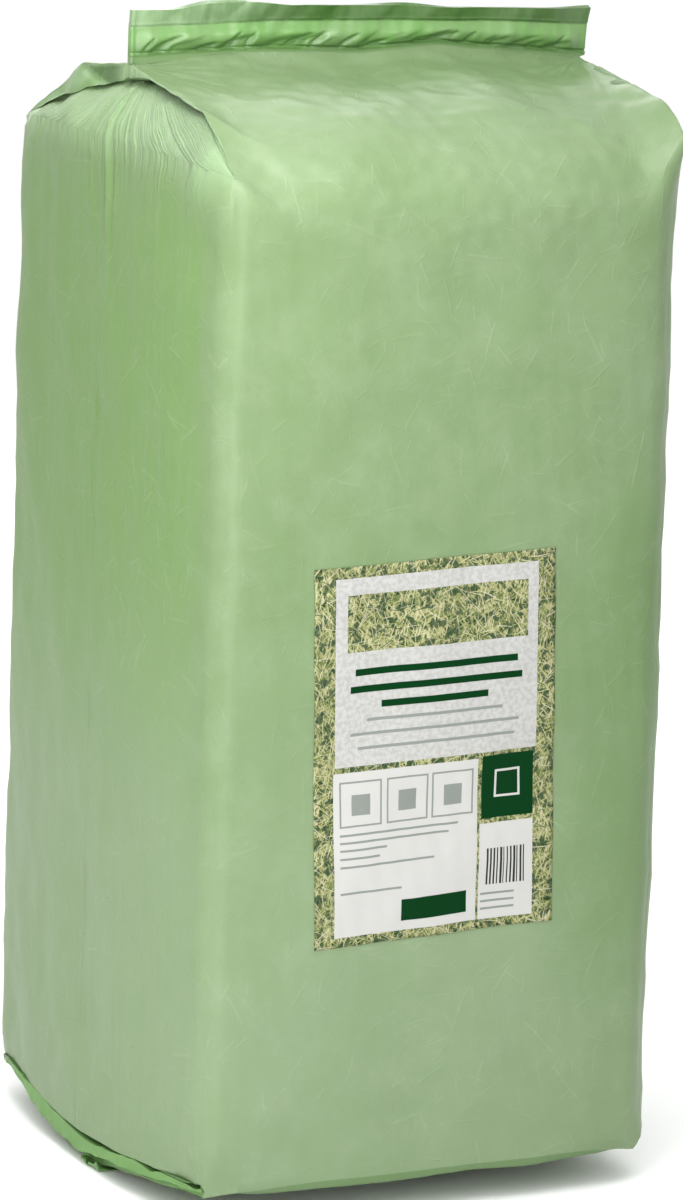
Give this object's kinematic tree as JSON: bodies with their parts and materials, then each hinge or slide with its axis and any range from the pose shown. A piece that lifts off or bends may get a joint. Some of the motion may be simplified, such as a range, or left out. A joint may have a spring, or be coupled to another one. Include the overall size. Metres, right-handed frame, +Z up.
{
  "type": "bagged hay bale",
  "caption": "Tall square-section hay bale pressed upright in a green side-gusset film bag, with a standing top seal, a folded bottom seal and a label on the front.",
  "frame": {"origin": "on the ground, under the middle of the bale's overall box", "axes": "+Z up along the bale's height to the top seal, -Y towards the front panel that carries the label, +X to the right seen from the front"},
  "size_m": [0.4222, 0.423, 0.9223],
  "materials": {
    "bag_film": "satin to glossy light green film drawn tight over hay, with fine creases and pale stalk marks",
    "seal_film": "the same film doubled and welded, so a deeper green",
    "label_film": "printed sheet with a soft sheen: hay-like ground, pale panels and one dark green square"
  },
  "bodies": {
    "root": {"filled_bag": "bag_film", "top_seal": "seal_film", "bottom_seal": "seal_film", "label": "label_film"}
  },
  "joints": []
}
